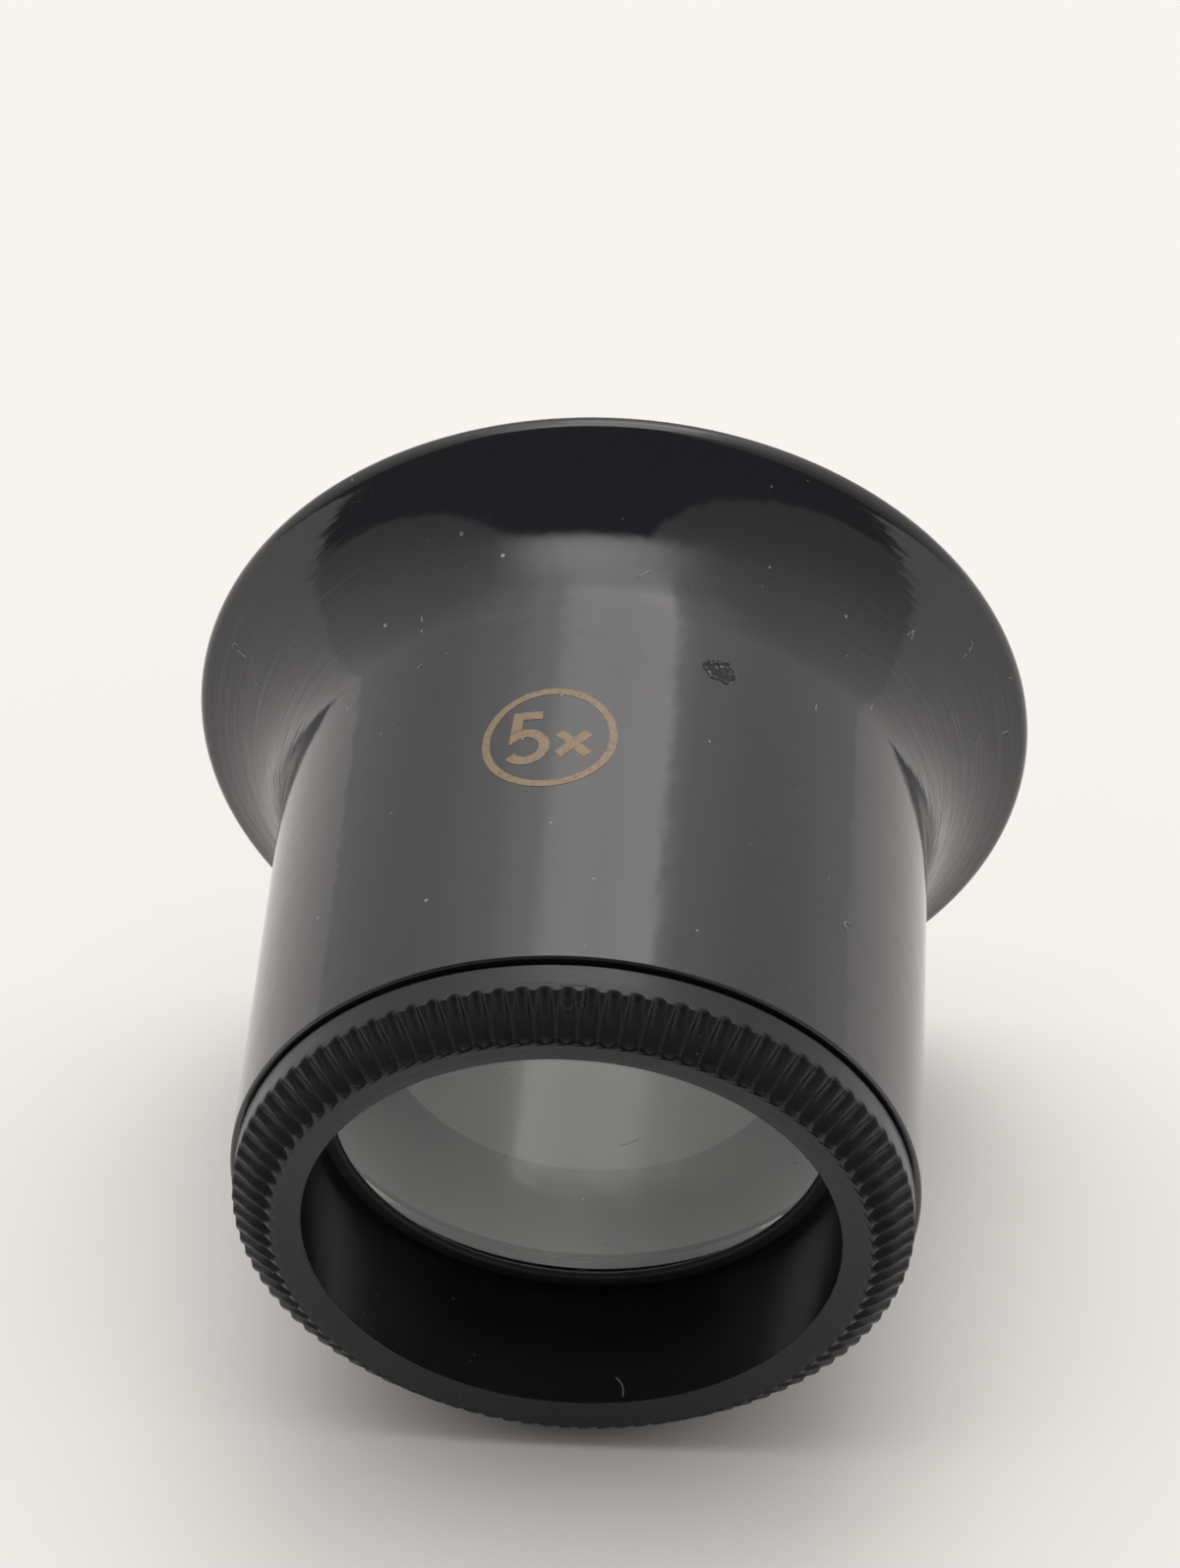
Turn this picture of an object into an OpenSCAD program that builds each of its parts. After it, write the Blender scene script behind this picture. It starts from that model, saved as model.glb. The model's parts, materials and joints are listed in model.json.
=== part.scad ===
// Eye loupe with a screwed lens ring, lying on its side on the eyecup rim and the ring.
// +X is to the right, -Y is the way the lens looks, +Z is up, and z = 0 is the table.
// The pieces are drawn about the optical axis, from the eyecup rim at z = 0 forwards, and then laid down.

/* [Eyecup] */
// Outside diameter of the eyecup rim
rim_d = 37; // [35:0.5:40]
// Wall of the eyecup, rounded at the rim
cup_wall = 1.1; // [0.9:0.1:1.4]
// Radius of the curve by which the barrel flares out to the rim
flare_r = 7.3; // [6.6:0.1:8.4]

/* [Barrel] */
// Length from the rim to the front end of the barrel
barrel_len = 27.1; // [26:0.1:34]
// Wall of the barrel outside its thread
barrel_wall = 1.25; // [1:0.05:2.5]
// Chamfer round the front end of the barrel
end_chamfer = 0.15; // [0.05:0.05:0.4]

/* [Lens] */
// Diameter of the lens
lens_d = 25; // [22:0.5:27]
// Thickness of the lens at its edge
lens_edge = 1.6; // [1:0.1:2.2]
// Radius of curvature of both faces of the lens
lens_curve = 51; // [40:1:120]
// Length from the rim to the ledge that the lens sits on
seat_z = 20.5; // [18:0.1:21]
// Width of the ledge under the lens
seat_w = 1.1; // [0.8:0.1:2]
// Thickness of the ledge
seat_t = 1.2; // [0.8:0.1:2.5]
// Radial clearance round the lens in its pocket
lens_fit = 0.1; // [0.05:0.01:0.1]

/* [Gasket] */
// Width of the gasket on the glass
gasket_w = 2.1; // [1.6:0.1:2.6]
// Thickness of the gasket at its inner edge
gasket_t = 0.4; // [0.3:0.05:0.7]

/* [Screw ring] */
// How much wider the thread is than the lens, on each side
thread_step = 0.4; // [0.3:0.05:0.8]
// Radial clearance between the ring's spigot and the barrel
thread_fit = 0.08; // [0.04:0.01:0.1]
// Wall of the spigot
spigot_wall = 1.84; // [1.2:0.02:2.2]
// Gap between the barrel and the head of the ring when it is screwed home
head_gap = 0.25; // [0.15:0.05:0.6]
// How far the head of the ring lies inside the barrel's outside, on each side
head_step = 0.22; // [0.1:0.02:0.5]
// Length of the smooth band round the head
band_len = 1.1; // [0.6:0.05:2]
// Length of the fluted cone, along the axis
cone_len = 1.55; // [1.2:0.05:2.2]
// Width of the front face, from the bore to the crest
face_w = 1.44; // [1:0.02:1.8]
// Depth by which the front face is dished towards the bore
face_dish = 0.38; // [0.1:0.02:0.6]

/* [Flutes] */
// Number of flutes round the ring
flutes = 96; // [72:1:110]
// Radius of each flute
flute_r = 0.41; // [0.3:0.01:0.45]
// Depth of each flute at the band
flute_start = 0.16; // [0.08:0.01:0.18]
// Depth of each flute at the face
flute_end = 0.25; // [0.2:0.01:0.28]
// Rim of the face left in front of the flutes
flute_rim = 0.06; // [0.04:0.01:0.15]

/* [Hidden] */
$fn = 128;
curve_fn = 720;
flute_fn = 24;
cut = 1;
seat_gap = 0.02;

lens_r = lens_d / 2;
pocket_r = lens_r + lens_fit;
thread_r = lens_r + thread_step;
barrel_r = thread_r + barrel_wall;
ledge_r = lens_r - seat_w;

// Eyecup: the flare leaves the barrel smoothly and runs on smoothly into the round lip
lip_r = cup_wall / 2;
lip_c = [rim_d / 2 - lip_r, lip_r];
flare_off = barrel_r + flare_r - lip_c[0];
flare_c = lip_c + [flare_off, sqrt((flare_r + lip_r) * (flare_r + lip_r) - flare_off * flare_off)];
flare_end = 2 * lip_c - flare_c;
straight_len = flare_c[1];
rear_r = barrel_r - cup_wall;

// Lens: the back face rests on the inner edge of the ledge
function sag(r) = lens_curve - sqrt(lens_curve * lens_curve - r * r);
lens_back = seat_z + seat_gap - sag(ledge_r);
lens_front = lens_back + lens_edge + 2 * sag(lens_r);

// Gasket, from the glass to the end of the spigot
gasket_r = lens_r - gasket_w;
gasket_top = lens_front - sag(gasket_r) + gasket_t;

// Screw ring
spigot_r = thread_r - thread_fit;
bore_r = spigot_r - spigot_wall;
spigot_z = gasket_top + seat_gap;
head_z = barrel_len + head_gap;
head_r = barrel_r - head_step;
crest_r = bore_r + face_w;
cone_z = head_z + band_len;
front_z = cone_z + cone_len;
thread_end = lens_front - sag(lens_r) + thread_step;

// Cone of the ring: the unit vectors down its side and square to it
cone_w = head_r - crest_r;
cone_side = sqrt(cone_len * cone_len + cone_w * cone_w);
cone_down = [cone_w / cone_side, -cone_len / cone_side];
cone_out = [cone_len / cone_side, cone_w / cone_side];

// Flutes: from the band to a round end just short of the face
nose_reach = sqrt(flute_r * flute_r - (flute_r - flute_end) * (flute_r - flute_end)) + flute_rim;
flute_from = [head_r, cone_z] + cone_out * (flute_r - flute_start);
flute_to = [crest_r, front_z] + cone_down * nose_reach + cone_out * (flute_r - flute_end);
flute_run = flute_to - flute_from;
flute_slope = atan2(-flute_run[0], flute_run[1]);
nose_r = 1.02 * flute_r;

// Lying down: the lip and the first edge in front of it that reaches the table
function lean(r, z) = atan2(lip_c[0] - r, z - lip_c[1]) + asin(lip_r / norm([lip_c[0] - r, z - lip_c[1]]));
tilt = min(lean(head_r, cone_z), lean(barrel_r, barrel_len - end_chamfer));
lift = lip_c[0] * cos(tilt) + lip_c[1] * sin(tilt) + lip_r;
rear_y = lip_c[0] * sin(tilt) - lip_c[1] * cos(tilt) + lip_r;
front_y = -crest_r * sin(tilt) - front_z * cos(tilt);

module lie_down() {
    translate([0, -(rear_y + front_y) / 2, lift])
        rotate([90 + tilt, 0, 0])
            children();
}

// Eyecup and barrel, one moulding
module cup_outline() {
    difference() {
        polygon([
            [0, flare_end[1]],
            flare_end,
            flare_c,
            [barrel_r, straight_len],
            [barrel_r, barrel_len - end_chamfer],
            [barrel_r - end_chamfer, barrel_len],
            [0, barrel_len]
        ]);
        translate(flare_c)
            circle(flare_r);
    }
}

module cup_hollow() {
    difference() {
        polygon([
            [0, flare_end[1] - cut],
            [flare_c[0], flare_end[1] - cut],
            [flare_c[0], straight_len],
            [rear_r, straight_len],
            [rear_r, seat_z - seat_t],
            [ledge_r, seat_z - seat_t],
            [ledge_r, seat_z],
            [pocket_r, seat_z],
            [pocket_r, thread_end],
            [thread_r, thread_end],
            [thread_r, barrel_len + cut],
            [0, barrel_len + cut]
        ]);
        translate(flare_c)
            circle(flare_r + cup_wall);
    }
}

module eyecup_barrel() {
    color("#1a1b1f")
        lie_down()
            rotate_extrude() {
                difference() {
                    cup_outline();
                    cup_hollow();
                }
                translate(lip_c)
                    circle(lip_r);
            }
}

// Biconvex lens
module lens() {
    color([0.75, 0.8, 0.8, 0.45])
        lie_down()
            rotate_extrude()
                intersection() {
                    translate([0, lens_back + lens_curve])
                        circle(lens_curve, $fn = curve_fn);
                    translate([0, lens_front - lens_curve])
                        circle(lens_curve, $fn = curve_fn);
                    translate([0, lens_back])
                        square([lens_r, lens_front - lens_back]);
                }
}

// Gasket: flat in front, coned behind to sit on the glass, with a rounded inner edge
module lens_gasket() {
    edge_r = 0.55 * gasket_t;
    edge_z = gasket_top - (gasket_t - seat_gap) / 2;
    color("#101012")
        lie_down()
            rotate_extrude()
                intersection() {
                    polygon([
                        [gasket_r, gasket_top],
                        [lens_r, gasket_top],
                        [lens_r, lens_front - sag(lens_r) + seat_gap],
                        [gasket_r, gasket_top - gasket_t + seat_gap]
                    ]);
                    union() {
                        translate([gasket_r + edge_r, edge_z])
                            circle(edge_r);
                        translate([gasket_r + edge_r, edge_z - lens_edge])
                            square([gasket_w, 2 * lens_edge]);
                    }
                }
}

// Screw ring: blank, and the cutter for one flute, a round bar with a ball end
module ring_blank() {
    rotate_extrude()
        polygon([
            [bore_r, spigot_z],
            [spigot_r, spigot_z],
            [spigot_r, head_z],
            [head_r, head_z],
            [head_r, cone_z],
            [crest_r, front_z],
            [bore_r, front_z - face_dish]
        ]);
}

module flute() {
    bar_len = norm(flute_run) + 3 * flute_r;
    translate([flute_to[0], 0, flute_to[1]])
        rotate([0, -flute_slope, 0])
            rotate_extrude($fn = flute_fn)
                intersection() {
                    union() {
                        translate([0, -bar_len])
                            square([flute_r, bar_len]);
                        circle(nose_r);
                    }
                    translate([0, -bar_len])
                        square([2 * flute_r, bar_len + 2 * flute_r]);
                }
}

module screw_ring() {
    color("#202125")
        lie_down()
            difference() {
                ring_blank();
                for (i = [0 : flutes - 1])
                    rotate([0, 0, i * 360 / flutes])
                        flute();
            }
}

eyecup_barrel();
lens();
lens_gasket();
screw_ring();
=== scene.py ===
"""Watchmaker's loupe on its side: moulded eyecup and barrel, biconvex lens, washer and fluted screw ring.

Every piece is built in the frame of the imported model, in metres. The optical axis and its origin come from
the barrel's mount in the record, so a piece needs only radii and lengths along the axis.
"""

import json
import math

import bpy
import bmesh
from bpy.props import FloatProperty, FloatVectorProperty, IntProperty, PointerProperty
from bpy.types import Operator, Panel, PropertyGroup
from mathutils import Matrix, Vector


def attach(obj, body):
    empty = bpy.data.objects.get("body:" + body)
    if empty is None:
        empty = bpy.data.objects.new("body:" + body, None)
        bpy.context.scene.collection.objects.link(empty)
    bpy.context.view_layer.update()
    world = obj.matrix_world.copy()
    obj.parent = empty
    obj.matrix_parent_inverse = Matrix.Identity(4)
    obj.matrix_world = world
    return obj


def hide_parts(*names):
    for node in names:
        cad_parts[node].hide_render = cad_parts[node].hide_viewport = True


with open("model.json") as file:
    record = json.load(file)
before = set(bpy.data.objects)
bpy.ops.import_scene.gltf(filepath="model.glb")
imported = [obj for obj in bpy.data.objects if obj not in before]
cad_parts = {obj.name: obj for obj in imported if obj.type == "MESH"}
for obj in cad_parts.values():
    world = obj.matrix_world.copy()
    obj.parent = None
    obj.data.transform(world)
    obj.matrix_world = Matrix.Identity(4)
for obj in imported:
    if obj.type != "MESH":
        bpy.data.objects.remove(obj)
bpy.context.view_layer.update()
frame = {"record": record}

bl_info = {
    "name": "Watchmaker's Loupe",
    "version": (1, 0, 0),
    "blender": (4, 5, 0),
    "location": "View3D > Sidebar > Loupe",
    "description": "Builds a watchmaker's loupe with a fluted screw ring, and its stage",
    "category": "Add Mesh",
}

MM = 0.001


# The optical axis of the part

# Length from the rim at which the barrel's mount starts
GRIP_Z = 7.6 * MM


def optical_axis():
    """Origin at the rim of the eyecup, and the directions across, up from the table and along the axis."""
    barrel = next(m for m in frame["record"]["mounts"] if m["name"] == "barrel")
    along = Vector(barrel["axis"]).normalized()
    across = Vector((1.0, 0.0, 0.0))
    upward = along.cross(across)
    origin = Vector(barrel["pos_m"]) - along * (GRIP_Z + barrel["dims"]["length_mm"] * MM / 2)
    return origin, across, upward, along


ORIGIN, ACROSS, UPWARD, ALONG = optical_axis()


def on_axis(radius, angle, z):
    """The point at a radius and an angle round the axis, at a length along it from the rim."""
    return ORIGIN + ACROSS * (radius * math.cos(angle)) + UPWARD * (radius * math.sin(angle)) + ALONG * z


# Sizes and colours


def number(name, description, value, high, low=0.0, **settings):
    return FloatProperty(name=name, description=description, default=value, min=low, max=high, **settings)


def length(name, description, value):
    return number(name, description, value * MM, 60.0 * MM, unit="LENGTH", precision=5)


def share(name, description, value):
    return number(name, description, value, 1.0, subtype="FACTOR")


def brightness(name, what, value, high=3.0):
    return number(name, f"Brightness of the {what}", value, high)


def tint(name, what, value):
    settings = {"default": value, "size": 3, "min": 0.0, "max": 1.0, "subtype": "COLOR"}
    return FloatVectorProperty(name=name, description=f"Colour of the {what}", **settings)


class LoupeSizes(PropertyGroup):
    rim_d: length("Rim diameter", "Widest diameter of the eyecup", 37.0)
    cup_wall: length("Cup wall", "Wall of the flare and the brim", 1.1)
    flare_arc: length("Flare arc", "Radius of the flare's curve", 7.3)
    barrel_r: length("Barrel radius", "Outside radius of the barrel", 14.15)
    straight_z: length("Straight barrel", "From the rim to where the barrel runs straight", 7.5766)
    barrel_z: length("Barrel length", "From the rim to the front of the barrel", 27.1)
    front_round: length("Front edge", "Rounding of the barrel's front edge", 0.08)
    ledge_r: length("Ledge radius", "Inside radius of the ledge under the lens", 11.4)
    ledge_z: length("Ledge front", "From the rim to the front of the ledge", 20.5)
    ledge_t: length("Ledge thickness", "Thickness of the ledge along the axis", 1.2)
    pocket_r: length("Pocket radius", "Radius of the pocket round the lens", 12.6)
    pocket_z: length("Pocket front", "From the rim to the front of the pocket", 22.785)
    thread_r: length("Thread radius", "Radius at the root of the inside thread", 12.9)
    thread_pitch: length("Thread pitch", "Travel of the ring in one turn", 0.75)
    thread_depth: length("Thread depth", "Depth of the thread", 0.33)
    lens_r: length("Lens radius", "Half the diameter of the lens", 12.5)
    lens_curve: length("Lens curve", "Radius of both faces of the lens", 51.0)
    lens_back: length("Lens back", "From the rim to the middle of the back face", 19.2296)
    lens_front: length("Lens front", "From the rim to the middle of the front face", 23.9407)
    washer_r: length("Washer radius", "Inside radius of the washer", 10.4)
    washer_front: length("Washer front", "From the rim to the front of the washer", 23.269)
    washer_t: length("Washer thickness", "Thickness of the washer at its inner edge", 0.38)
    bore_r: length("Ring bore", "Inside radius of the screw ring", 10.98)
    spigot_r: length("Spigot radius", "Radius at the crest of the ring's thread", 12.82)
    spigot_z: length("Spigot end", "From the rim to the inner end of the ring", 23.289)
    head_r: length("Head radius", "Radius of the ring's band", 13.91)
    head_z: length("Head start", "From the rim to the back of the band", 27.27)
    cone_z: length("Cone start", "From the rim to where the fluted cone starts", 28.6)
    crest_r: length("Crest radius", "Outside radius of the front face", 12.26)
    front_z: length("Front face", "From the rim to the crest of the front face", 29.95)
    face_dish: length("Face dish", "Drop of the face towards the bore", 0.33)
    flute_r: length("Flute radius", "Radius of each flute", 0.36)
    flute_start: length("Flute depth at the band", "Depth of a flute where the cone starts", 0.17)
    flute_end: length("Flute depth at the face", "Depth of a flute at its round end", 0.34)
    flute_nick: length("Flute nick", "How far a flute's end nicks the edge of the face", 0.035)
    flutes: IntProperty(name="Flutes", description="Flutes round the ring", default=96, min=24, max=120)
    columns: IntProperty(name="Columns", description="Facets round the axis", default=192, min=96, max=384)


class LoupeFinishes(PropertyGroup):
    plastic: tint("Moulded plastic", "eyecup and barrel", (0.0034, 0.0028, 0.008))
    plastic_gloss: share("Barrel roughness", "Roughness of the moulded plastic", 0.06)
    ring: tint("Ring plastic", "screw ring", (0.0016, 0.0015, 0.0045))
    ring_gloss: share("Ring roughness", "Roughness of the screw ring", 0.22)
    washer: tint("Washer", "washer", (0.014, 0.014, 0.0145))
    glass: tint("Glass", "lens", (0.965, 0.985, 0.98))
    bronze: tint("Mark", "power mark", (0.25, 0.18, 0.115))
    lint: tint("Lint", "fibres and dust", (0.62, 0.61, 0.6))
    dust: share("Dust", "How much dust lies on the plastic", 0.5)
    scuffs: share("Scuffs", "How strongly marks and scratches show", 0.5)


class LoupeStage(PropertyGroup):
    floor: tint("Floor", "floor", (0.895, 0.88, 0.872))
    tent: brightness("Tent", "light tent", 1.0)
    softbox: brightness("Softbox", "softbox", 1.0, high=6.0)
    shape: brightness("Dark shape", "dark shape in front", 0.19)
    focal: number("Focal length", "Focal length of the camera in millimetres", 109.556, 300.0, low=20.0)


def sizes():
    return bpy.context.scene.loupe_sizes


def finishes():
    return bpy.context.scene.loupe_finishes


# Turned profiles: lists of (radius, length) pairs


def arc(centre, radius, start, end, steps):
    turns = [math.radians(start + (end - start) * i / steps) for i in range(steps + 1)]
    return [(centre[0] + radius * math.cos(t), centre[1] + radius * math.sin(t)) for t in turns]


def line(start, end, steps):
    run = (end[0] - start[0], end[1] - start[1])
    return [(start[0] + run[0] * i / steps, start[1] + run[1] * i / steps) for i in range(steps + 1)]


def eased(before, corner, after, radius, steps=5):
    """A rounded corner: the points of the arc that touches both of its sides."""
    c = Vector(corner)
    a = (Vector(before) - c).normalized()
    b = (Vector(after) - c).normalized()
    half = a.angle(b) / 2
    reach = radius / math.tan(half)
    centre = c + (a + b).normalized() * (radius / math.sin(half))
    p, q = c + a * reach - centre, c + b * reach - centre
    turn = p.angle(q)
    points = []
    for i in range(steps + 1):
        t = i / steps
        v = (p * math.sin((1 - t) * turn) + q * math.sin(t * turn)) / math.sin(turn)
        points.append(tuple(centre + v))
    return points


def rounded(points, radii):
    """The corners of a line of points, without its two ends, each rounded by a radius in millimetres."""
    return path(*[eased(*points[i : i + 3], radius * MM) for i, radius in enumerate(radii)])


def path(*parts):
    """The parts one after the other, without the points that repeat."""
    points = []
    for part in parts:
        for p in part:
            if not points or math.dist(points[-1], p) > 1e-7:
                points.append(p)
    if math.dist(points[0], points[-1]) < 1e-7:
        points.pop()
    return points


# Meshes


def new_mesh(name, verts, faces):
    mesh = bpy.data.meshes.new(name)
    mesh.from_pydata([tuple(v) for v in verts], [], faces)
    return mesh


def solid_mesh(name, verts, faces):
    """A mesh with all its faces turned outwards."""
    mesh = new_mesh(name, verts, faces)
    work = bmesh.new()
    work.from_mesh(mesh)
    bmesh.ops.recalc_face_normals(work, faces=work.faces)
    work.to_mesh(mesh)
    work.free()
    return mesh


def ring_of(radius, z, columns, lift=None):
    """One ring of points round the axis; lift may change the radius at an angle."""
    points = []
    for i in range(columns):
        angle = 2 * math.pi * i / columns
        points.append(on_axis(radius if lift is None else lift(radius, z, angle), angle, z))
    return points


def skin(name, rings, closed=True, sharp=40.0):
    """A piece over rings of points; of two neighbours, one has a whole multiple of the other's points."""
    verts = [p for ring in rings for p in ring]
    starts = [0]
    for ring in rings:
        starts.append(starts[-1] + len(ring))
    count = len(rings)
    faces = []
    for low in range(count if closed else count - 1):
        high = (low + 1) % count
        n, m = len(rings[low]), len(rings[high])
        if n == 1 or m == 1:
            hub, rim = (low, high) if n == 1 else (high, low)
            for i in range(n * m):
                a, b = starts[rim] + i, starts[rim] + (i + 1) % (n * m)
                faces.append((starts[hub], a, b) if n == 1 else (starts[hub], b, a))
            continue
        few = min(n, m)
        step_n, step_m = n // few, m // few
        for i in range(few):
            near = [starts[low] + (i * step_n + k) % n for k in range(step_n + 1)]
            far = [starts[high] + (i * step_m + k) % m for k in range(step_m + 1)]
            faces.append(tuple(near[::-1] + far))
    mesh = solid_mesh(name, verts, faces)
    mesh.shade_smooth()
    mesh.set_sharp_from_angle(angle=math.radians(sharp))
    return place(name, mesh)


def place(name, mesh):
    piece = bpy.data.objects.new(name, mesh)
    bpy.context.scene.collection.objects.link(piece)
    return piece


def finish_piece(piece, body, material, node=None):
    piece.data.materials.append(material)
    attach(piece, body)
    if node:
        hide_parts(node)


# Thread

# Half the width of the thread's foot and the width of its flank, in shares of the pitch
THREAD_FOOT, THREAD_FLANK = 0.42, 0.34
# Lengths over which the threads begin and end, and the chamfer that leads the ring in
INSIDE_BEGINS = (22.9 * MM, 23.3 * MM)
INSIDE_ENDS = (26.6 * MM, 27.0 * MM)
OUTSIDE_ENDS = (26.6 * MM, 26.95 * MM)
LEAD_DEPTH, LEAD_LENGTH = 0.22 * MM, 0.45 * MM


def fade(value, start, end):
    """A smooth rise from 0 at the start to 1 at the end."""
    t = min(1.0, max(0.0, (value - start) / (end - start)))
    return t * t * (3 - 2 * t)


def fall(value, start, end):
    """A smooth fall from 1 at the start to 0 at the end."""
    return fade(-value, -end, -start)


def thread_root(s, z, angle):
    """Depth of the thread below its crest at a length and an angle."""
    turn = z / s.thread_pitch - angle / (2 * math.pi)
    return s.thread_depth * (1 - fade(THREAD_FOOT - abs(turn % 1.0 - 0.5), 0.0, THREAD_FLANK))


def inside_thread(s):
    def lift(r, z, angle):
        return r - thread_root(s, z, angle) * (fade(z, *INSIDE_BEGINS) * fall(z, *INSIDE_ENDS))

    return lift


def outside_thread(s):
    def lift(r, z, angle):
        reach = fall(z, *OUTSIDE_ENDS)
        lead = LEAD_DEPTH * (1 - fade(z, s.spigot_z, s.spigot_z + LEAD_LENGTH))
        return r - max(thread_root(s, z, angle) * reach + s.thread_depth * (1 - reach), lead)

    return lift


# Shader nodes

# The brightest level of a curve
CURVE_TOP = 4.0


class Sheet:
    """A node tree that nodes are added to. A value is a number, a tuple or the socket of another node."""

    def __init__(self, tree):
        self.tree = tree

    def add(self, kind, values=None, **settings):
        """A node with its settings, and with values on its inputs by name or number."""
        item = self.tree.nodes.new(kind)
        for key, setting in settings.items():
            setattr(item, key, setting)
        for key, value in (values or {}).items():
            self.feed(value, item.inputs[key])
        return item

    def feed(self, value, socket):
        if isinstance(value, bpy.types.NodeSocket):
            self.tree.links.new(value, socket)
        else:
            socket.default_value = value

    def calc(self, operation, *values):
        return self.add("ShaderNodeMath", dict(enumerate(values)), operation=operation).outputs[0]

    def times(self, product, *others):
        for value in others:
            product = self.calc("MULTIPLY", product, value)
        return product

    def pile(self, total, *layers):
        """A total with layers on it, each a value and how much of it is added."""
        for value, amount in layers:
            total = self.calc("MULTIPLY_ADD", value, amount, total)
        return total

    def vector(self, operation, *values):
        item = self.add("ShaderNodeVectorMath", dict(enumerate(values)), operation=operation)
        return item.outputs["Value" if operation == "DOT_PRODUCT" else "Vector"]

    def combine(self, *values):
        return self.add("ShaderNodeCombineXYZ", dict(enumerate(values))).outputs[0]

    def step(self, value, start, end, low=0.0, high=1.0, kind="SMOOTHSTEP"):
        """A step that is low up to the start and high from the end."""
        values = {"Value": value, "From Min": start, "From Max": end, "To Min": low, "To Max": high}
        return self.add("ShaderNodeMapRange", values, interpolation_type=kind).outputs["Result"]

    def between(self, value, rise, top, fall_from, end):
        """1 from the top to the fall, and 0 before the rise and after the end."""
        return self.times(self.step(value, rise, top), self.step(value, fall_from, end, 1.0, 0.0))

    def noise(self, where, scale, detail=3.0, rough=0.5, warp=0.0):
        values = {"Vector": where, "Scale": scale, "Detail": detail, "Roughness": rough, "Distortion": warp}
        return self.add("ShaderNodeTexNoise", values).outputs["Fac"]

    def blend(self, share_of, first, second, kind="RGBA"):
        """A blend of two colours, or of two values where the kind is FLOAT."""
        at, out = (6, 2) if kind == "RGBA" else (2, 0)
        values = {0: share_of, at: first, at + 1: second}
        return self.add("ShaderNodeMix", values, data_type=kind).outputs[out]

    def curve(self, value, stops):
        """A level that runs straight between stops, which are pairs of a value and a level."""
        low, high = stops[0][0], stops[-1][0]
        ramp = self.add("ShaderNodeValToRGB", {0: self.step(value, low, high, kind="LINEAR")})
        elements = ramp.color_ramp.elements
        places = [(stop - low) / (high - low) for stop, _ in stops]
        elements[0].position, elements[1].position = places[0], places[-1]
        for at in places[1:-1]:
            elements.new(at)
        for element, (_, level) in zip(elements, stops):
            element.color = colour([level / CURVE_TOP] * 3)
        return self.times(ramp.outputs[0], CURVE_TOP)


class Surface(Sheet):
    """The sheet of a new material, with constant values on its shader's sockets."""

    def __init__(self, name, **sockets):
        self.material = bpy.data.materials.new(name)
        self.material.use_nodes = True
        super().__init__(self.material.node_tree)
        self.shader = self.tree.nodes["Principled BSDF"].inputs
        for key, value in sockets.items():
            self.shader[key.replace("_", " ")].default_value = value

    def places(self):
        """The places on the part: Straight, Unrolled, Angle, Radius and Length."""
        return axis_places(self, Place=self.add("ShaderNodeTexCoord").outputs["Object"])

    def finish(self, base=None, rough=None, height=None):
        """The material, with its colour, its roughness and a relief in millimetres fed to the shader."""
        if base is not None:
            self.feed(base, self.shader["Base Color"])
        if rough is not None:
            self.feed(rough, self.shader["Roughness"])
        if height is not None:
            bump = self.add("ShaderNodeBump", {"Strength": 1.0, "Distance": MM, "Height": height})
            self.feed(bump.outputs[0], self.shader["Normal"])
        return self.material


def colour(rgb):
    return (*rgb, 1.0)


VALUE, VECTOR = "NodeSocketFloat", "NodeSocketVector"


def shared(name, outputs, **inputs):
    """Makes a function that wires a sheet into one that uses it as a group; a vector input is None."""

    def wrap(wire):
        def use(sheet, **values):
            if name not in bpy.data.node_groups:
                tree = bpy.data.node_groups.new(name, "ShaderNodeTree")
                for label, value in inputs.items():
                    kind = VECTOR if value is None else VALUE
                    socket = tree.interface.new_socket(name=label, in_out="INPUT", socket_type=kind)
                    if value is not None:
                        socket.default_value = value
                for label, kind in outputs.items():
                    tree.interface.new_socket(name=label, in_out="OUTPUT", socket_type=kind)
                group = Sheet(tree)
                given = group.add("NodeGroupInput").outputs
                results = wire(group, *[given[label] for label in inputs])
                group.add("NodeGroupOutput", dict(zip(outputs, results)))
            return sheet.add("ShaderNodeGroup", values, node_tree=bpy.data.node_groups[name]).outputs

        return use

    return wrap


MASK = {"Mask": VALUE}
PLACES = {"Straight": VECTOR, "Unrolled": VECTOR, "Angle": VALUE, "Radius": VALUE, "Length": VALUE}
# Radius in millimetres at which the part is unrolled, and millimetres to a degree there
UNROLLED_R = 14.0
PER_DEGREE = UNROLLED_R * math.pi / 180


@shared("Loupe axis", PLACES, Place=None)
def axis_places(n, place_of):
    """Object coordinates to places on the part, in millimetres and in degrees from the top."""
    local = n.vector("SUBTRACT", place_of, tuple(ORIGIN))
    local = n.add("ShaderNodeVectorMath", {0: local, "Scale": 1 / MM}, operation="SCALE").outputs["Vector"]
    x, y, z = [n.vector("DOT_PRODUCT", local, tuple(way)) for way in (ACROSS, UPWARD, ALONG)]
    angle = n.calc("ARCTAN2", n.times(x, -1.0), y)
    radius = n.calc("SQRT", n.calc("ADD", n.times(x, x), n.times(y, y)))
    unrolled = n.combine(n.times(angle, UNROLLED_R), radius, z)
    return n.combine(x, y, z), unrolled, n.times(angle, 180 / math.pi), radius, z


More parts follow.
